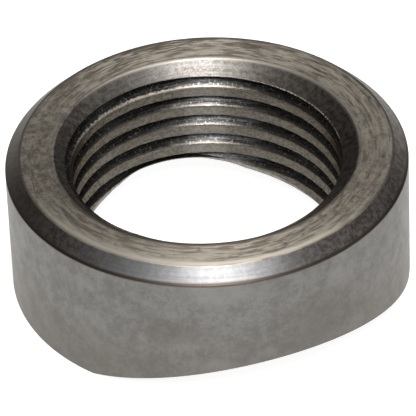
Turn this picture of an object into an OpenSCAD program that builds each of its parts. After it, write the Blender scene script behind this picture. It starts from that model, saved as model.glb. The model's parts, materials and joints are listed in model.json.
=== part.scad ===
// Oxygen sensor weld bung: a turned steel ring with a threaded bore, a countersunk lead-in for
// the sensor and a saddle milled across its foot so that it sits on a round exhaust pipe.
// It stands on the two flat lands that the saddle leaves. +Z runs up the bore, the origin is on
// the bore axis at the lands, and the pipe's axis runs along Y. Millimetres.

/* [Ring] */
// Outside diameter of the ring
outer_d = 25; // [22:0.1:32]
// Height from the lands to the sensor's seat face
ring_h = 9.4; // [7:0.1:16]
// Width of the 45 degree chamfer round the seat face
rim_chamfer = 0.9; // [0.2:0.05:1.4]

/* [Sensor thread] */
// Nominal diameter of the thread, across its roots
thread_d = 18; // [16:0.1:18.8]
// Advance of the thread in one turn, right-handed
thread_pitch = 1.5; // [1.25:0.05:2]
// Radial depth of the thread, from its crests to its roots
thread_depth = 0.6; // [0.4:0.05:0.8]
// Width of the flat at the thread's root
root_flat = 0.12; // [0.05:0.01:0.2]
// Angle round the bore, from +X, at which the groove's centre line meets the seat face's level
thread_start = -24; // [-180:1:180]

/* [Lead-in] */
// Radial width of the countersunk lead-in at the seat face
lead_in_w = 1.05; // [0.3:0.05:1.6]
// Included angle of the countersunk lead-in
lead_in_angle = 100; // [60:5:140]

/* [Pipe saddle] */
// Outside diameter of the exhaust pipe that the saddle fits
pipe_d = 54; // [38:0.5:70]
// Depth of the saddle, from the lands up to its crest
saddle_depth = 2.2; // [1:0.1:2.7]

/* [Hidden] */
$fn = 160;
outer_r = outer_d / 2;
root_r = thread_d / 2;
bore_r = root_r - thread_depth;
lead_in_depth = lead_in_w / tan(lead_in_angle / 2);
// How far the cutters run past the faces that they cut
overcut = 1;
// The groove's cutter also starts a little inside the bore
groove_overcut = 0.12;
flank_angle = 60;
// Straight steps that make up one turn of the groove
turn_steps = 60;

// Section of the groove about its centre line, as radius and height, from its lower mouth edge up
mouth_r = bore_r - groove_overcut;
root_half = root_flat / 2;
mouth_half = root_half + (root_r - mouth_r) * tan(flank_angle / 2);
groove_outline = [
    [mouth_r, -mouth_half],
    [root_r, -root_half],
    [root_r, root_half],
    [mouth_r, mouth_half]
];
corners = len(groove_outline);

// The groove runs from clear below the lands to clear above the seat face
groove_run = mouth_half + groove_overcut;
first_angle = thread_start - 360 * (ring_h + groove_run) / thread_pitch;
last_angle = thread_start + 360 * groove_run / thread_pitch;
groove_steps = ceil((last_angle - first_angle) * turn_steps / 360);

function groove_section(angle) =
    let (z = ring_h + thread_pitch * (angle - thread_start) / 360)
    [for (p = groove_outline) [p.x * cos(angle), p.x * sin(angle), z + p.y]];

// Half section of the turned ring, drawn as radius and height
module ring_section() {
    polygon([
        [bore_r, 0],
        [outer_r, 0],
        [outer_r, ring_h - rim_chamfer],
        [outer_r - rim_chamfer, ring_h],
        [bore_r + lead_in_w, ring_h],
        [bore_r, ring_h - lead_in_depth]
    ]);
}

// The helical groove that a tap leaves between the thread's crests
module thread_groove() {
    points = [for (i = [0:groove_steps]) each groove_section(first_angle + 360 * i / turn_steps)];
    sides = [
        for (i = [0:groove_steps - 1], k = [0:corners - 1])
            let (a = corners * i + k, b = corners * i + (k + 1) % corners)
            each [[a, b, b + corners], [a, b + corners, a + corners]]
    ];
    first_cap = [for (k = [corners - 1:-1:0]) k];
    last_cap = [for (k = [0:corners - 1]) corners * groove_steps + k];
    polyhedron(points, concat(sides, [first_cap, last_cap]));
}

// The pipe, lying along Y with its crown at the saddle's crest
module pipe() {
    translate([0, 0, saddle_depth - pipe_d / 2])
        rotate([90, 0, 0])
            cylinder(d = pipe_d, h = outer_d + 2 * overcut, center = true);
}

module bung() {
    color([0.53, 0.52, 0.50])
        difference() {
            rotate_extrude()
                ring_section();
            pipe();
            thread_groove();
        }
}

bung();
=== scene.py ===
import json
import math

import bpy
import numpy as np
from mathutils import Matrix, Vector


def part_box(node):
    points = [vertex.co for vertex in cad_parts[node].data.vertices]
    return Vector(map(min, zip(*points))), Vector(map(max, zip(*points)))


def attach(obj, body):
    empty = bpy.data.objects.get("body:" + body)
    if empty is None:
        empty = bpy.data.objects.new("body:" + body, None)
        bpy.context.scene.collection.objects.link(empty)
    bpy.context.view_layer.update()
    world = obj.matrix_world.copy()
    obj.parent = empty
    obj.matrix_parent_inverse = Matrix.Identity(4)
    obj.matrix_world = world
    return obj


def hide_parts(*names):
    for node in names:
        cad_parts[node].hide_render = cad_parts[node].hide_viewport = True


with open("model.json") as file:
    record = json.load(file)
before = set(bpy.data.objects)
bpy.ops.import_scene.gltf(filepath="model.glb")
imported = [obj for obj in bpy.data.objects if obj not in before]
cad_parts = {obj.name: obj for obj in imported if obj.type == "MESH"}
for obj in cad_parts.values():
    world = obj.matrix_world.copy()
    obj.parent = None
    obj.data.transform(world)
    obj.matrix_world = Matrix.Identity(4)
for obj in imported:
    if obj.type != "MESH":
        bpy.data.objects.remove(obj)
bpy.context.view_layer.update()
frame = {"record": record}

# Sizes of the bung in millimetres, in the part's own frame: +Z up the bore, the pipe along Y
MM = 0.001
box_low, box_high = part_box("bung")
mounts = {m["name"]: m for m in frame["record"]["mounts"]}
OUTER_R = box_high.x / MM
RING_H = box_high.z / MM
BORE_R = mounts["sensor_thread"]["dims"]["r_mm"]
PIPE_R = mounts["pipe_saddle"]["dims"]["r_mm"]
SADDLE_DEPTH = mounts["pipe_saddle"]["pos_m"][2] / MM
RIM_CHAMFER = 0.9
LEAD_IN_W = 1.05
LEAD_IN_SLOPE = math.tan(math.radians(100 / 2))
THREAD_DEPTH = 0.6
THREAD_PITCH = 1.5
THREAD_START = math.radians(-24)
ROOT_FLAT = 0.12
FLANK_SLOPE = math.tan(math.radians(60 / 2))

# Values that follow from those sizes
ROOT_R = BORE_R + THREAD_DEPTH
LIP_R = BORE_R + LEAD_IN_W
LEAD_IN_DEPTH = LEAD_IN_W / LEAD_IN_SLOPE
RIM_R = OUTER_R - RIM_CHAMFER
WALL_TOP = RING_H - RIM_CHAMFER
ROOT_HALF = ROOT_FLAT / 2
MOUTH_HALF = ROOT_HALF + THREAD_DEPTH * FLANK_SLOPE
PIPE_AXIS_Z = SADDLE_DEPTH - PIPE_R
LAND_X = math.sqrt(PIPE_R ** 2 - PIPE_AXIS_Z ** 2)

# How far each worn edge is rounded back along the faces on both sides of its corner, in millimetres
FOOT_EDGE = (0.05, 0.05)
BURR_EDGE = (0.01, 0.01)
WALL_EDGE = (0.035, 0.035)
RIM_EDGE = (0.07, 0.4)
LIP_EDGE = (0.125, 0.07)
LIP_LEAN = 0.55
CREST_TOP_EDGE = (0.05, 0.22)
FIRST_CREST_EDGE = (0.05, 0.38)
CREST_FOOT_EDGE = (0.03, 0.03)
ROOT_TOP_EDGE = (0.05, 0.05)
ROOT_FOOT_EDGE = (0.05, 0.33)

# The thin burr where the saddle cuts the thread: height, gaps to the crests on +X and -X, and drop
BURR_H = 0.07
BURR_GAPS = (0.18, 0.03)
BURR_DROP = 0.21

# Where the burr's gap changes and where it hangs lowest, on +X and -X, as shares of the radius
GAP_CHANGE_START = 0.15
GAP_CHANGE_WIDTH = 0.2
LOWEST_AT = (0.66, 0.55)
HANGING_REACH = 0.33

# How far the tap leant, as the thread's drop on the side towards which it leans
TAP_LEAN = 0.06
TAP_ANGLE = math.radians(100)

# How far below the seat face the crests' edges start to be torn, and how much further they are fully torn
TORN_START = 1.1
TORN_RUN = 0.4

# A groove that is no further than this below the seat face has the first crest under it
FIRST_GROOVE_DEPTH = 1.6

# Sides of the ring, as directions from its axis, that differ in how they are worn or shine, or in the light
# and shade painted on them
FRONT_SIDE = (-0.46, -0.89, 0)
POLISHED_SIDE = (-0.78, -0.62, 0)
RIGHT_BACK_SIDE = (0.9, 0.44, 0)
STREAKED_SIDE = (-0.11, 0.99, 0)
GLINT_SIDE = (0.5, 0.866, 0)
CREST_HIGHLIGHT_SIDE = (0.37, 0.93, 0)
DULL_SIDE = (-0.93, 0.37, 0)
FRONT_ANGLE = math.atan2(FRONT_SIDE[1], FRONT_SIDE[0])

# Spots on the wall: their side and height, and their reach round the ring and up it, in millimetres
DULL_SPOTS = (((0.18, -0.98, 0), 4.3, 4.5, 3.0), ((-0.55, -0.83, 0), 4.8, 3.0, 1.4))
# The high spot is painted light, a pale patch on the front under the chamfer's highlight; the low spot is a
# paler tone of the steel
HIGH_LIT_SPOT = ((-0.33, -0.94, 0), 7.9, 3.6, 1.4)
LOW_BARE_SPOT = ((-0.36, -0.93, 0), 2.1, 2.4, 1.0)

# Columns round the ring, rows across its wider faces, and points round its worn edges
COLUMNS = 540
WALL_ROWS = 12
CHAMFER_ROWS = 4
SEAT_ROWS = 10
CONE_ROWS = 5
FOOT_ROWS = 8
LAND_ROWS = 4
EDGE_POINTS = 3
CUT_POINTS = 2
WIDE_POINTS = 6

# How the section is worked out: spare grooves, halvings of a step, and limits in millimetres or as a share
SPARE_GROOVES = 3
HALVINGS = 40
FOOT_STEP = 0.3
LARGEST_CUT = 0.49
JOIN_WITHIN = 1e-5
TINY = 1e-9

# Camera: where it stands round the middle of the ring, its lens, and its shift to the right and up
VIEW_AZIMUTH = math.radians(-21.49)
VIEW_ELEVATION = math.radians(38.16)
VIEW_ROLL = math.radians(-2.45)
VIEW_DISTANCE = 0.2999
VIEW_LENS = 416.0
VIEW_SHIFT = (-0.05e-3, -0.02e-3)

# Studio: how bright the walls, the ceiling, the floor's own glow and its paint are, where 1 is white
WALL_LEVEL = 0.04
CEILING_LEVEL = 0.22
FLOOR_GLOW = 0.9
FLOOR_PAINT = 0.42

# Width of the floor in metres
FLOOR_SIZE = 4.0


def foot_height(r, angle):
    """Height of the foot's surface: the saddle, or the lands where the pipe is lower than they are."""
    x = r * math.cos(angle)
    return max(0.0, PIPE_AXIS_Z + math.sqrt(PIPE_R ** 2 - x * x))


def torn(turn, phase):
    """How far the tap has torn a crest's edge out of its helix, at an angle along it."""
    waves = ((31.3, 0.007), (53.7, 0.008), (88.1, 0.008), (131.9, 0.007))
    return sum(size * math.sin(count * turn + phase * count) for count, size in waves)


def thread_corners(angle):
    """The thread's corners at an angle round the bore, from above the seat face down past the foot."""
    top = RING_H + THREAD_PITCH * (angle - THREAD_START) / (2 * math.pi)
    grooves = math.ceil(RING_H / THREAD_PITCH) + SPARE_GROOVES
    corners = []
    for k in range(grooves):
        z = top - THREAD_PITCH * k - TAP_LEAN * math.cos(angle - TAP_ANGLE)
        turn = angle - 2 * math.pi * k
        rough = min(max((RING_H - TORN_START - z) / TORN_RUN, 0.0), 1.0)
        crest_edge = CREST_TOP_EDGE if z < RING_H - FIRST_GROOVE_DEPTH else FIRST_CREST_EDGE
        corners += [
            (BORE_R, z + MOUTH_HALF + rough * torn(turn, phase=0.4), CREST_FOOT_EDGE, EDGE_POINTS),
            (ROOT_R, z + ROOT_HALF, ROOT_TOP_EDGE, EDGE_POINTS),
            (ROOT_R, z - ROOT_HALF, ROOT_FOOT_EDGE, WIDE_POINTS),
            (BORE_R, z - MOUTH_HALF + rough * torn(turn, phase=1.9), crest_edge, 2 * CUT_POINTS),
        ]
    return corners


def beyond_cone(r, z):
    """Positive where a point of the thread lies outside the countersunk lead-in, so that it is steel."""
    return r - LIP_R + (RING_H - z) * LEAD_IN_SLOPE


def crossing(low, high, side):
    """The point between two points at which side() changes its sign."""
    for _ in range(HALVINGS):
        middle = ((low[0] + high[0]) / 2, (low[1] + high[1]) / 2)
        if side(*middle) < 0:
            low = middle
        else:
            high = middle
    return high


def rounded_corner(before, corner, after):
    """Points of the curve that rounds a corner, each with the section's outward normal there."""
    p, c, n = (np.array(v[:2]) for v in (before, corner, after))
    back, ahead = (
        leg * min(cut / max(np.linalg.norm(leg), TINY), LARGEST_CUT)
        for leg, cut in zip((p - c, n - c), corner[2])
    )
    points = []
    for i in range(corner[3]):
        share = i / (corner[3] - 1)
        spot = c + back * (1 - share) ** 2 + ahead * share ** 2
        along = ahead * share - back * (1 - share)
        along /= max(np.linalg.norm(along), TINY)
        points.append(np.array((*spot, along[1], -along[0])))
    return points


def between(start, end, rows):
    """Points strictly between two points, which cut the stretch into rows."""
    return [start + (end - start) * (i / rows) for i in range(1, rows)]


def worn(edge, angle, phase, lean=0.0):
    """An edge's rounding, a little wider and narrower round the ring, and narrower on the front side."""
    waves = ((7, 0.07), (19, 0.06), (43, 0.06), (97, 0.07))
    factor = 1 - lean * math.cos(angle - FRONT_ANGLE)
    factor += sum(size * math.sin(count * angle + phase * count) for count, size in waves)
    return tuple(cut * factor for cut in edge)


def burr(angle):
    """How far the burr stops short of the crests, and how far it hangs below the saddle."""
    across = math.cos(angle)
    closed = min(max((-across - GAP_CHANGE_START) / GAP_CHANGE_WIDTH, 0.0), 1.0)
    gap = BURR_GAPS[0] + closed * (BURR_GAPS[1] - BURR_GAPS[0])
    lowest = LOWEST_AT[0] if across > 0 else LOWEST_AT[1]
    hanging = max(0.0, 1 - ((abs(across) - lowest) / HANGING_REACH) ** 2)
    return gap, BURR_DROP * hanging


def column(angle):
    """The ring's section at an angle: a closed path of (points, zone) stretches of fixed lengths."""

    def on_foot(r):
        return np.array((r, foot_height(r, angle), 0, 0))

    def below_burr(r, z):
        return foot_height(r, angle) + BURR_H - z

    corners = thread_corners(angle)
    first = next(i for i, c in enumerate(corners) if beyond_cone(*c[:2]) > 0)
    last = next(i for i, c in enumerate(corners) if below_burr(*c[:2]) > 0)
    cone_end = crossing(corners[first - 1], corners[first], beyond_cone)
    threads = corners[first:last]
    for i, corner in enumerate(threads):
        if beyond_cone(*corner[:2]) < 0:
            cuts = [crossing(corner, threads[k], beyond_cone) for k in (i - 1, i + 1)]
            threads[i:i + 1] = [(*cut, CREST_FOOT_EDGE, CUT_POINTS) for cut in cuts]
            break
    burr_root = crossing(corners[last - 1], corners[last], below_burr)
    gap, drop = burr(angle)
    inner_r = min(burr_root[0], BORE_R + gap)
    inner_z = foot_height(inner_r, angle)
    outer_foot = (OUTER_R, foot_height(OUTER_R, angle), FOOT_EDGE, EDGE_POINTS)
    path = [
        outer_foot,
        (OUTER_R, WALL_TOP, worn(WALL_EDGE, angle, phase=0.3), EDGE_POINTS),
        (RIM_R, RING_H, worn(RIM_EDGE, angle, phase=1.1), WIDE_POINTS),
        (LIP_R, RING_H, worn(LIP_EDGE, angle, phase=2.3, lean=LIP_LEAN), WIDE_POINTS),
        (*cone_end, CREST_FOOT_EDGE, EDGE_POINTS),
        *threads,
        (*burr_root, BURR_EDGE, EDGE_POINTS),
        (inner_r, inner_z + BURR_H, BURR_EDGE, EDGE_POINTS),
        (inner_r, max(inner_z - drop, 0.0), worn(FOOT_EDGE, angle, phase=3.7), EDGE_POINTS),
    ]
    befores = [on_foot(OUTER_R - FOOT_STEP)] + path[:-1]
    afters = path[1:] + [on_foot(inner_r + FOOT_STEP)]
    turns = [rounded_corner(*three) for three in zip(befores, path, afters)]
    outer, wall, rim, lip, cone = turns[:5]
    root, tip, inner = turns[-3:]
    cut_away = [[cone[-1]] * c[3] for c in corners[:first]]
    below = [[root[0]] * c[3] for c in corners[last:]]
    grooves = cut_away + turns[5:-3] + below
    land_r = min(LAND_X / max(abs(math.cos(angle)), TINY), OUTER_R)
    land = on_foot(land_r) if land_r < outer[0][0] else outer[0]
    foot_points = [on_foot(p[0]) for p in between(inner[-1], land, FOOT_ROWS)]
    land_points = [np.array((p[0], p[1], 0, 0)) for p in between(land, outer[0], LAND_ROWS)]
    return [
        (outer, "wall"),
        (between(outer[-1], wall[0], WALL_ROWS), "wall"),
        (wall, "chamfer"),
        (between(wall[-1], rim[0], CHAMFER_ROWS), "chamfer"),
        (rim, "seat"),
        (between(rim[-1], lip[0], SEAT_ROWS), "seat"),
        (lip, "lead_in"),
        (between(lip[-1], cone[0], CONE_ROWS), "lead_in"),
        (cone, "thread"),
        (sum(grooves, []), "thread"),
        (root + tip + inner, "foot"),
        (foot_points + [land] + land_points, "foot"),
    ]


ZONES = ["wall", "chamfer", "seat", "lead_in", "thread", "foot"]


def ring_mesh():
    """The ring's closed surface, from its columns, with the points that coincide joined."""
    grid = []
    for i in range(COLUMNS + 1):
        angle = 2 * math.pi * i / COLUMNS
        stretches = column(angle)
        turn = np.array((math.cos(angle), math.sin(angle), 0))
        side = np.array((-math.sin(angle), math.cos(angle), 0))
        rise = np.array((0, 0, 1))
        points = []
        for stretch, zone in stretches:
            lead = THREAD_PITCH / (2 * math.pi) if zone == "thread" else 0.0
            for r, z, out, up in stretch:
                normal = out * turn + up * rise - up * lead / r * side
                points.append((*(r * turn + z * rise), *normal))
        grid.append(points)
    zones = [ZONES.index(zone) for stretch, zone in stretches for _ in stretch]
    grid = np.array(grid)
    rows = grid.shape[1]
    places, normals = grid.reshape(-1, 6)[:, :3], grid.reshape(-1, 6)[:, 3:]
    keys = np.round(places / JOIN_WITHIN).astype(np.int64)
    _, kept, number = np.unique(keys, axis=0, return_index=True, return_inverse=True)
    number = number.reshape(COLUMNS + 1, rows)
    faces, face_zones = [], []
    for i in range(COLUMNS):
        for j in range(rows):
            k = (j + 1) % rows
            corners = [number[i, j], number[i + 1, j], number[i + 1, k], number[i, k]]
            corners = [int(c) for n, c in enumerate(corners) if c != corners[n - 1]]
            if len(set(corners)) == len(corners) > 2:
                faces.append(corners)
                face_zones.append(zones[j])
    mesh = bpy.data.meshes.new("bung_body")
    mesh.from_pydata((places[kept] * MM).tolist(), [], faces)
    mesh.polygons.foreach_set("material_index", face_zones)
    mesh.shade_smooth()
    mesh.update()
    mesh.normals_split_custom_set_from_vertices(normals[kept].tolist())
    return mesh


class Tree:
    """Short calls that add nodes to one material's tree."""

    def __init__(self, name):
        self.material = bpy.data.materials.new(name)
        self.material.use_nodes = True
        self.tree = self.material.node_tree
        self.shader = self.tree.nodes["Principled BSDF"]
        place = self.add("ShaderNodeTexCoord")
        self.normal = place.outputs["Normal"]
        self.place = self.vector("MULTIPLY", place.outputs["Object"], (1 / MM, 1 / MM, 1 / MM))
        flat = self.vector("MULTIPLY", self.place, (1, 1, 0))
        self.radius = self.add("ShaderNodeVectorMath", (flat,), operation="LENGTH").outputs["Value"]
        self.outward = self.vector("NORMALIZE", flat)
        self.height = self.add("ShaderNodeSeparateXYZ", (self.place,)).outputs["Z"]

    def add(self, kind, inputs=(), **settings):
        """A node with its first inputs linked or set, in order, and its settings."""
        node = self.tree.nodes.new(kind)
        for key, value in settings.items():
            setattr(node, key, value)
        for socket, value in zip(node.inputs, inputs):
            self.feed(socket, value)
        return node

    def feed(self, socket, value):
        if isinstance(value, bpy.types.NodeSocket):
            self.tree.links.new(value, socket)
        else:
            socket.default_value = value

    def vector(self, operation, *inputs):
        return self.add("ShaderNodeVectorMath", inputs, operation=operation).outputs["Vector"]

    def math(self, operation, *inputs):
        return self.add("ShaderNodeMath", inputs, operation=operation).outputs[0]

    def mean(self, first, second, share):
        """The first value where the share is 0, and the second where it is 1."""
        return self.math("MULTIPLY_ADD", self.math("SUBTRACT", second, first), share, first)

    def towards(self, side):
        """1 on that side of the ring, -1 on the other side."""
        node = self.add("ShaderNodeVectorMath", (self.outward, side), operation="DOT_PRODUCT")
        return node.outputs["Value"]

    def steps(self, value, low, high, to_low=0.0, to_high=1.0):
        """The value carried smoothly from one range to another, and held at its ends."""
        inputs = (value, low, high, to_low, to_high)
        return self.add("ShaderNodeMapRange", inputs, interpolation_type="SMOOTHSTEP").outputs["Result"]

    def noise(self, vector, size, detail=2.0, seed=0.0, rough=0.5):
        """Noise whose lumps are about that size in millimetres, from 0 to 1, with finer lumps in them."""
        shifted = self.vector("ADD", vector, (seed, 1.7 * seed, 2.3 * seed))
        node = self.add("ShaderNodeTexNoise")
        self.feed(node.inputs["Vector"], shifted)
        node.inputs["Scale"].default_value = 1 / size
        node.inputs["Detail"].default_value = detail
        node.inputs["Roughness"].default_value = rough
        return node.outputs["Fac"]

    def grain(self, along, across, level, detail=2.0, seed=0.0):
        """Noise in streaks that are long round the ring and narrow across it, in millimetres."""
        turn = self.vector("MULTIPLY", self.outward, (OUTER_R / along, OUTER_R / along, 0))
        step = self.add("ShaderNodeCombineXYZ", (0.0, 0.0, self.math("MULTIPLY", level, 1 / across)))
        return self.noise(self.vector("ADD", turn, step.outputs["Vector"]), 1.0, detail, seed)

    def near(self, radius, height, inside, outside):
        """1 within a distance of the edge that runs round the ring there, and 0 beyond another."""
        across = self.math("SUBTRACT", self.radius, radius)
        rise = self.math("SUBTRACT", self.height, height)
        offset = self.add("ShaderNodeCombineXYZ", (across, rise, 0.0)).outputs["Vector"]
        distance = self.add("ShaderNodeVectorMath", (offset,), operation="LENGTH").outputs["Value"]
        return self.steps(distance, inside, outside, 1.0, 0.0)

    def spot(self, side, height, wide, high):
        """1 at a place on the wall, fading to 0 at so many millimetres round the ring and up it."""
        away = self.math("SUBTRACT", 1.0, self.towards(side))
        along = self.math("MULTIPLY", away, 2 * (OUTER_R / wide) ** 2)
        rise = self.math("MULTIPLY", self.math("SUBTRACT", self.height, height), 1 / high)
        return self.steps(self.math("MULTIPLY_ADD", rise, rise, along), 0.0, 1.0, 1.0, 0.0)

    def wall_line(self):
        """The dark line where the chamfer meets the wall."""
        return self.near(OUTER_R - 0.07, WALL_TOP + 0.055, 0.04, 0.19)

    def blend(self, factor, first, second):
        """The first colour where the factor is 0, and the second where it is 1."""
        node = self.add("ShaderNodeMix", data_type="RGBA")
        self.feed(node.inputs["Factor"], factor)
        colours = [s for s in node.inputs if s.type == "RGBA"]
        for socket, value in zip(colours, (first, second)):
            self.feed(socket, (*value, 1) if isinstance(value, tuple) else value)
        return next(s for s in node.outputs if s.type == "RGBA")

    def turned(self, amount):
        """Spreads the shine across the tool marks that run round the ring."""
        self.shader.inputs["Anisotropic"].default_value = amount
        self.shader.inputs["Anisotropic Rotation"].default_value = 0.25
        tangent = self.add("ShaderNodeTangent", direction_type="RADIAL", axis="Z")
        self.feed(self.shader.inputs["Tangent"], tangent.outputs["Tangent"])

    def finish(self, colour, roughness, relief=None, depth=0.0):
        """Sets the steel's colour and roughness, and its relief with a depth in millimetres."""
        self.shader.inputs["Metallic"].default_value = 1.0
        self.feed(self.shader.inputs["Base Color"], colour)
        self.feed(self.shader.inputs["Roughness"], roughness)
        if relief is not None:
            bump = self.add("ShaderNodeBump")
            bump.inputs["Distance"].default_value = depth * MM
            self.feed(bump.inputs["Height"], relief)
            self.feed(self.shader.inputs["Normal"], bump.outputs["Normal"])
        return self.material


def wall_steel():
    """Bare bar stock: fine grit under faint cloudy staining, with painted shade that makes it darker and
    browner towards the foot, and a few spots, one of them a painted patch of light.
    """
    t = Tree("steel_wall")
    cloud = t.noise(t.place, 1.5, 6, 3, 0.88)
    shade_edge_noise = t.noise(t.place, 3.0, 4, 9)
    clean = t.blend(t.steps(cloud, 0.36, 0.64), (0.15, 0.144, 0.134), (0.21, 0.204, 0.195))
    # Painted shade: the wall is darker and browner towards the foot, in place of the floor's shadow seen in
    # it
    low = t.steps(t.math("ADD", t.height, t.math("MULTIPLY", shade_edge_noise, 5.0)), 3.0, 8.5, 0.55, 0.0)
    shaded_low = t.blend(low, clean, (0.148, 0.134, 0.116))
    dull = t.math("MAXIMUM", *(t.spot(*place) for place in DULL_SPOTS))
    dulled = t.blend(t.math("MULTIPLY", dull, 0.5), shaded_low, (0.125, 0.113, 0.1))
    # Painted light: the high spot is a pale patch under the chamfer's highlight, and the low spot a paler
    # tone of the steel
    bare_and_lit = t.math("MAXIMUM", t.spot(*HIGH_LIT_SPOT), t.math("MULTIPLY", t.spot(*LOW_BARE_SPOT), 0.6))
    bared_and_lit = t.blend(t.math("MULTIPLY", bare_and_lit, 0.5), dulled, (0.26, 0.252, 0.24))
    colour = t.blend(t.wall_line(), bared_and_lit, (0.075, 0.06, 0.048))
    t.shader.inputs["Specular Tint"].default_value = (0.85, 0.84, 0.82, 1)
    return t.finish(colour, t.steps(cloud, 0.3, 0.7, 0.46, 0.4), cloud, 0.004)


def chamfer_steel():
    """A turned bevel: fine lines round the ring, under mottled brown oxide except on the front side."""
    t = Tree("steel_chamfer")
    lines = t.grain(4.0, 0.1, t.height, 4)
    mottle = t.noise(t.place, 0.4, 5, 6, 0.8)
    marks = t.steps(t.mean(lines, mottle, 0.6), 0.4, 0.6)
    clean = t.blend(marks, (0.222, 0.22, 0.219), (0.283, 0.285, 0.287))
    oxide = t.blend(t.steps(mottle, 0.41, 0.59), (0.12, 0.1, 0.088), (0.235, 0.217, 0.202))
    dull = t.math("MULTIPLY", t.steps(t.towards(DULL_SIDE), 0.7, 1.0), 0.8)
    dulled = t.blend(dull, oxide, (0.08, 0.069, 0.06))
    bright = t.blend(t.steps(t.towards(FRONT_SIDE), 0.72, 0.98), dulled, clean)
    colour = t.blend(t.wall_line(), bright, (0.09, 0.071, 0.058))
    t.shader.inputs["Specular Tint"].default_value = (0.75, 0.74, 0.72, 1)
    return t.finish(colour, t.steps(lines, 0.3, 0.7, 0.43, 0.4), lines, 0.002)


def seat_steel():
    """A faced end: gritty at its sides, streaked in front and behind with streaks painted pale where they
    catch the light, creased and worn pale in front, with painted shade along the lip in front.
    """
    t = Tree("steel_seat")
    front = t.towards(FRONT_SIDE)
    grit = t.noise(t.place, 0.55, 5, 0, 0.88)
    streaks = t.grain(1.8, 0.2, t.radius, 3)
    cloud = t.noise(t.place, 1.0, 4, 5)
    streaky = t.steps(t.math("ABSOLUTE", front), 0.3, 0.9, 0.1, 0.7)
    tone = t.mean(t.mean(grit, streaks, streaky), cloud, 0.25)
    tint = t.noise(t.place, 0.8, 3, 8)
    pale = t.blend(t.steps(tint, 0.4, 0.6), (0.385, 0.36, 0.297), (0.405, 0.355, 0.31))
    clean = t.blend(t.steps(tone, 0.42, 0.58), (0.19, 0.164, 0.13), pale)
    behind = t.steps(front, -0.75, -0.1, 0.85, 0.0)
    right = t.towards(RIGHT_BACK_SIDE)
    scratched = t.steps(right, -0.2, 0.8)
    sides = t.math("MAXIMUM", t.steps(front, 0.2, 1.0), t.math("MAXIMUM", behind, scratched))
    # Partly painted highlight: the streaks are real tool marks, painted pale on the front, back and right
    # where they catch the light
    rub_and_sheen = t.math("MULTIPLY", sides, t.steps(streaks, 0.34, 0.66))
    outer_rub_and_sheen = t.math("MULTIPLY", rub_and_sheen, t.steps(t.radius, LIP_R + 0.05, RIM_R - 0.6, 0.75, 1.0))
    right_rub_and_sheen = t.math("MULTIPLY", outer_rub_and_sheen, t.steps(right, 0.8, 1.0, 0.75, 1.0))
    rub_and_sheen_colour = t.blend(t.steps(right, 0.6, 0.95), (0.51, 0.46, 0.382), (0.62, 0.557, 0.463))
    rubbed_and_lit = t.blend(right_rub_and_sheen, clean, rub_and_sheen_colour)
    patches = t.mean(t.grain(1.1, 0.11, t.radius, 2, 31), t.grain(4.0, 0.7, t.radius, 3, 33), 0.4)
    outward = t.math("MULTIPLY_ADD", t.math("SUBTRACT", t.radius, RIM_R - 1.0), 0.09, patches)
    dirty = t.math("MULTIPLY", behind, t.steps(t.towards(STREAKED_SIDE), 0.55, 0.9, 0.5, 1.0))
    worn_dark = t.math("MULTIPLY", dirty, t.steps(outward, 0.49, 0.58))
    streaked = t.blend(worn_dark, rubbed_and_lit, (0.095, 0.081, 0.063))
    bends = t.math("ABSOLUTE", t.math("SUBTRACT", t.grain(3.6, 0.5, t.radius, 1.5, 21), 0.5))
    broken = t.math("MULTIPLY", t.steps(cloud, 0.42, 0.58), t.steps(front, -0.2, 0.5))
    creases = t.math("MULTIPLY", t.steps(bends, 0.0, 0.05, 1.0, 0.0), broken)
    creased = t.blend(t.math("MULTIPLY", creases, 0.75), streaked, (0.12, 0.096, 0.072))
    pits = t.steps(t.grain(0.35, 0.14, t.radius, 2, 12), 0.27, 0.34, 1.0, 0.0)
    pitted = t.blend(t.math("MULTIPLY", pits, 0.6), creased, (0.08, 0.067, 0.053))
    band = t.near(RIM_R - 0.2, RING_H, 0.04, 0.27)
    worn_band = t.math("MULTIPLY", band, t.steps(front, 0.35, 0.9, 0.0, 0.9))
    banded = t.blend(worn_band, pitted, (0.64, 0.58, 0.49))
    outer_half = t.steps(t.radius, RIM_R - 1.0, RIM_R - 0.4, 0.1, 0.55)
    polish = t.math("MULTIPLY", t.steps(t.towards(POLISHED_SIDE), 0.75, 1.0), outer_half)
    polished = t.blend(polish, banded, (0.7, 0.635, 0.54))
    # Painted shade: a dark line along the lip on the front side
    lip_shade_band = t.near(LIP_R + 0.08, RING_H, 0.06, 0.28)
    lip = t.math("MULTIPLY", lip_shade_band, t.steps(front, 0.2, 0.8, 0.0, 0.95))
    lip_shaded = t.blend(lip, polished, (0.105, 0.086, 0.067))
    rim = t.near(RIM_R, RING_H, 0.04, 0.17)
    rim_line = t.math("MULTIPLY", rim, t.steps(front, 0.1, 0.8, 0.8, 0.2))
    colour = t.blend(rim_line, lip_shaded, (0.13, 0.113, 0.095))
    relief = t.math("SUBTRACT", tone, t.math("MULTIPLY", t.math("ADD", pits, creases), 0.2))
    smoothed = t.mean(relief, 0.5, t.math("MAXIMUM", rim, worn_band))
    t.turned(0.6)
    return t.finish(colour, t.steps(tone, 0.3, 0.7, 0.52, 0.38), smoothed, 0.045)


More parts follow.
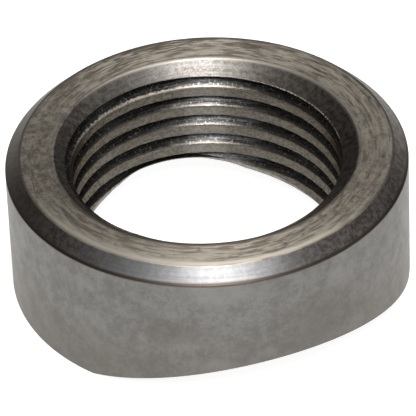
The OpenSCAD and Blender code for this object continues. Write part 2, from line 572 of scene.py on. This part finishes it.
def lead_in_steel():
    """The countersink: turned lines and specks, dark mottling at its sides painted lighter to the left and
    darker to the right, a lip worn pale behind, and painted shade along the lip in front.
    """
    t = Tree("steel_lead_in")
    lines = t.grain(6.0, 0.08, t.height, 3)
    specks = t.noise(t.place, 0.12, 3, 3)
    mottle = t.noise(t.place, 0.35, 4, 15)
    front = t.towards(FRONT_SIDE)
    right = t.towards(RIGHT_BACK_SIDE)
    back = t.steps(front, -0.9, -0.4, 1.0, 0.0)
    turned = t.mean(t.mean(lines, specks, 0.5), mottle, 0.3)
    clean = t.blend(t.steps(turned, 0.4, 0.6), (0.138, 0.125, 0.112), (0.222, 0.21, 0.197))
    spotted = t.steps(t.mean(mottle, specks, 0.4), 0.38, 0.62)
    # Painted light and shade: the oxide is lighter towards the left and darker towards the right back
    side_shade = t.steps(right, -0.4, 0.8)
    dark = t.blend(side_shade, (0.112, 0.097, 0.084), (0.075, 0.06, 0.049))
    light = t.blend(side_shade, (0.262, 0.241, 0.216), (0.195, 0.173, 0.15))
    oxide = t.blend(spotted, dark, light)
    cleaned = t.math("MULTIPLY", back, t.steps(right, 0.84, 0.98, 1.0, 0.4))
    mixed = t.blend(cleaned, oxide, clean)
    pale_side = t.math("MAXIMUM", back, t.steps(right, 0.4, 0.9, 0.0, 0.7))
    lip = t.math("MULTIPLY", t.near(LIP_R, RING_H, 0.08, 0.22), pale_side)
    pale_lip = t.blend(lip, mixed, (0.37, 0.337, 0.285))
    shaded = t.math("MULTIPLY", t.near(LIP_R, RING_H, 0.08, 0.2), t.steps(front, 0.1, 0.8))
    lip_shaded = t.blend(shaded, pale_lip, (0.075, 0.057, 0.043))
    tip = t.near(BORE_R, RING_H - LEAD_IN_DEPTH, 0.04, 0.12)
    dots = t.math("MULTIPLY", t.steps(specks, 0.42, 0.58), t.steps(right, 0.6, 0.95))
    frayed = t.math("MULTIPLY", tip, dots)
    colour = t.blend(frayed, lip_shaded, (0.7, 0.65, 0.57))
    roughness = t.mean(t.steps(specks, 0.3, 0.7, 0.48, 0.4), 0.75, frayed)
    return t.finish(colour, roughness, t.mean(lines, specks, 0.5), 0.006)


def thread_steel():
    """The tapped thread: grey crests with pale ragged edges and a painted highlight in the middle behind,
    and dark grooves with bright specks, painted lighter straight behind.
    """
    t = Tree("steel_thread")
    fine = t.grain(0.3, 0.14, t.height, 4)
    scores = t.grain(2.0, 0.05, t.height, 2, 2)
    specks = t.grain(0.18, 0.08, t.height, 1, 7)
    ragged = t.math("ADD", t.radius, t.math("MULTIPLY", t.math("SUBTRACT", fine, 0.5), 0.3))
    upward = t.add("ShaderNodeSeparateXYZ", (t.normal,)).outputs["Z"]
    glint_side = t.towards(GLINT_SIDE)
    streak_side = t.towards(STREAKED_SIDE)
    # The crests' tone is lighter at the sides than straight behind, and a narrow stripe in the middle
    # behind, dark spots too, is painted paler as a highlight
    beside = t.steps(t.towards(FRONT_SIDE), -0.8, -0.25)
    rubbed_and_lit = t.blend(beside, (0.16, 0.146, 0.122), (0.24, 0.219, 0.183))
    middle = t.steps(t.towards(CREST_HIGHLIGHT_SIDE), 0.98, 1.0)
    crest_highlight = t.blend(middle, rubbed_and_lit, (0.225, 0.21, 0.186))
    dull = t.blend(middle, (0.1, 0.089, 0.073), (0.165, 0.152, 0.132))
    crest = t.blend(t.steps(fine, 0.38, 0.62), dull, crest_highlight)
    # Painted highlight: the grooves are painted lighter straight behind than at the sides
    groove_sheen = t.blend(beside, (0.14, 0.138, 0.133), (0.08, 0.077, 0.072))
    scored_groove = t.blend(t.steps(scores, 0.35, 0.65), (0.05, 0.048, 0.045), groove_sheen)
    groove = t.blend(t.steps(specks, 0.6, 0.7), scored_groove, (0.35, 0.345, 0.33))
    near_root = t.steps(t.radius, BORE_R + 0.25, BORE_R + 0.42)
    deep = t.math("MULTIPLY", near_root, t.steps(upward, 0.15, 0.5))
    marked = t.math("MULTIPLY", deep, t.steps(t.mean(scores, specks, 0.4), 0.4, 0.6, 0.25, 1.0))
    lower = t.math("MULTIPLY", marked, t.steps(t.height, RING_H - 2.2, RING_H - 1.6, 1.0, 0.15))
    glint = t.math("MULTIPLY", lower, t.steps(glint_side, 0.95, 1.0))
    lit = t.blend(glint, groove, (0.72, 0.74, 0.77))
    depth = t.steps(ragged, BORE_R + 0.03, BORE_R + 0.16)
    worn = t.steps(ragged, BORE_R + 0.06, BORE_R + 0.15, 1.0, 0.0)
    on_top = t.steps(upward, 0.06, 0.25)
    edge = t.math("MULTIPLY", on_top, worn)
    glinting = t.math("MAXIMUM", t.steps(glint_side, 0.92, 1.0), t.steps(streak_side, 0.85, 0.97))
    paleness = t.mean(t.steps(specks, 0.35, 0.6), glinting, 0.5)
    pale = t.blend(paleness, (0.085, 0.073, 0.062), (0.23, 0.208, 0.181))
    edged = t.blend(edge, t.blend(depth, crest, lit), pale)
    highest = t.steps(t.height, RING_H - 1.9, RING_H - 1.75)
    first = t.math("MULTIPLY", highest, t.steps(streak_side, 0.45, 0.9))
    flank = t.math("MULTIPLY", on_top, t.steps(ragged, BORE_R + 0.05, BORE_R + 0.16, 1.0, 0.0))
    left = t.math("MULTIPLY", first, t.steps(glint_side, 0.85, 1.0, 1.0, 0.3))
    streak = t.math("MULTIPLY", t.math("MULTIPLY", left, flank), t.steps(specks, 0.3, 0.55, 0.25, 1.0))
    colour = t.blend(streak, edged, (0.86, 0.78, 0.665))
    relief = t.mean(fine, specks, 0.4)
    t.shader.inputs["Specular Tint"].default_value = (0.4, 0.385, 0.36, 1)
    t.turned(0.7)
    roughness = t.mean(t.steps(fine, 0.3, 0.7, 0.4, 0.32), 0.65, streak)
    return t.finish(colour, roughness, relief, 0.006)


def foot_steel():
    """The milled saddle and its lands: straight cutter marks along the pipe."""
    t = Tree("steel_foot")
    across = t.vector("MULTIPLY", t.place, (1 / 0.14, 1 / 3.0, 0))
    marks = t.noise(across, 1.0, 4)
    cloud = t.noise(t.place, 1.2, 4, 5)
    tone = t.math("ADD", t.math("MULTIPLY", marks, 0.6), t.math("MULTIPLY", cloud, 0.4))
    colour = t.blend(t.steps(tone, 0.35, 0.65), (0.17, 0.158, 0.14), (0.3, 0.287, 0.265))
    return t.finish(colour, t.steps(cloud, 0.3, 0.7, 0.45, 0.32), marks, 0.012)


STEELS = {
    "wall": wall_steel,
    "chamfer": chamfer_steel,
    "seat": seat_steel,
    "lead_in": lead_in_steel,
    "thread": thread_steel,
    "foot": foot_steel,
}


def make_ring():
    """One mesh for the whole ring, with a steel for each of its zones."""
    ring = bpy.data.objects.new("bung_body", ring_mesh())
    bpy.context.scene.collection.objects.link(ring)
    for zone in ZONES:
        ring.data.materials.append(STEELS[zone]())
    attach(ring, "root")
    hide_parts("bung")


def make_camera():
    """The camera looks past the middle of the ring's box by a small shift."""
    aim = (box_low + box_high) / 2
    back = Vector((
        math.sin(VIEW_AZIMUTH) * math.cos(VIEW_ELEVATION),
        -math.cos(VIEW_AZIMUTH) * math.cos(VIEW_ELEVATION),
        math.sin(VIEW_ELEVATION),
    ))
    side = Vector((math.cos(VIEW_AZIMUTH), math.sin(VIEW_AZIMUTH), 0))
    up = back.cross(side)
    right = side * math.cos(VIEW_ROLL) + up * math.sin(VIEW_ROLL)
    top = up * math.cos(VIEW_ROLL) - side * math.sin(VIEW_ROLL)
    turn = Matrix((right, top, back)).transposed().to_4x4()
    data = bpy.data.cameras.new("camera")
    data.lens = VIEW_LENS
    data.clip_start = 0.01
    camera = bpy.data.objects.new("camera", data)
    shift = right * VIEW_SHIFT[0] + top * VIEW_SHIFT[1]
    camera.matrix_world = Matrix.Translation(aim + shift + back * VIEW_DISTANCE) @ turn
    bpy.context.scene.collection.objects.link(camera)
    bpy.context.scene.camera = camera


def make_floor():
    """A white floor that glows for the rays that see it, and still takes the ring's shadow."""
    bpy.ops.mesh.primitive_plane_add(size=FLOOR_SIZE)
    floor = bpy.context.object
    floor.name = "floor"
    material = bpy.data.materials.new("floor")
    material.use_nodes = True
    tree = material.node_tree
    tree.nodes.clear()
    diffuse = tree.nodes.new("ShaderNodeBsdfDiffuse")
    diffuse.inputs["Color"].default_value = (FLOOR_PAINT, FLOOR_PAINT, FLOOR_PAINT, 1)
    rays = tree.nodes.new("ShaderNodeLightPath")
    seen = rays.outputs["Is Camera Ray"]
    for kind in ("Is Glossy Ray", "Is Transmission Ray"):
        either = tree.nodes.new("ShaderNodeMath")
        either.operation = "MAXIMUM"
        tree.links.new(seen, either.inputs[0])
        tree.links.new(rays.outputs[kind], either.inputs[1])
        seen = either.outputs[0]
    level = tree.nodes.new("ShaderNodeMath")
    level.operation = "MULTIPLY"
    level.inputs[1].default_value = FLOOR_GLOW
    tree.links.new(seen, level.inputs[0])
    glow = tree.nodes.new("ShaderNodeEmission")
    tree.links.new(level.outputs[0], glow.inputs["Strength"])
    both = tree.nodes.new("ShaderNodeAddShader")
    tree.links.new(diffuse.outputs[0], both.inputs[0])
    tree.links.new(glow.outputs[0], both.inputs[1])
    output = tree.nodes.new("ShaderNodeOutputMaterial")
    tree.links.new(both.outputs[0], output.inputs["Surface"])
    floor.data.materials.append(material)


def make_lamp(name, azimuth, elevation, distance, width, height, power):
    """A soft box aimed at the ring, placed round it by its angles from the camera's side."""
    turn = VIEW_AZIMUTH + math.radians(azimuth)
    rise = math.radians(elevation)
    place = Vector((
        math.sin(turn) * math.cos(rise),
        -math.cos(turn) * math.cos(rise),
        math.sin(rise),
    ))
    data = bpy.data.lights.new(name, "AREA")
    data.shape = "RECTANGLE"
    data.size = width
    data.size_y = height
    data.energy = power
    lamp = bpy.data.objects.new(name, data)
    lamp.location = place * distance
    lamp.rotation_euler = place.to_track_quat("Z", "Y").to_euler()
    bpy.context.scene.collection.objects.link(lamp)


def make_world():
    """A dim studio, a little lighter overhead than at its walls."""
    world = bpy.data.worlds.new("studio")
    world.use_nodes = True
    tree = world.node_tree
    background = tree.nodes["Background"]
    place = tree.nodes.new("ShaderNodeTexCoord")
    parts = tree.nodes.new("ShaderNodeSeparateXYZ")
    tree.links.new(place.outputs["Generated"], parts.inputs[0])
    level = tree.nodes.new("ShaderNodeMapRange")
    level.inputs["From Min"].default_value = 0.3
    level.inputs["From Max"].default_value = 1.0
    level.inputs["To Min"].default_value = WALL_LEVEL
    level.inputs["To Max"].default_value = CEILING_LEVEL
    tree.links.new(parts.outputs["Z"], level.inputs["Value"])
    tree.links.new(level.outputs["Result"], background.inputs["Strength"])
    background.inputs["Color"].default_value = (1, 1, 1, 1)
    bpy.context.scene.world = world


bpy.context.scene.view_settings.view_transform = "Standard"
make_camera()
make_world()
make_floor()
make_lamp("key", azimuth=5, elevation=65, distance=0.6, width=0.15, height=0.4, power=3.4)
make_lamp("overhead", azimuth=155, elevation=72, distance=0.6, width=0.22, height=0.4, power=0.7)
make_lamp("back_fill", azimuth=180, elevation=34, distance=0.8, width=0.6, height=0.4, power=0.3)
make_lamp("side_fill", azimuth=88, elevation=34, distance=0.8, width=0.5, height=0.4, power=0.2)
make_ring()
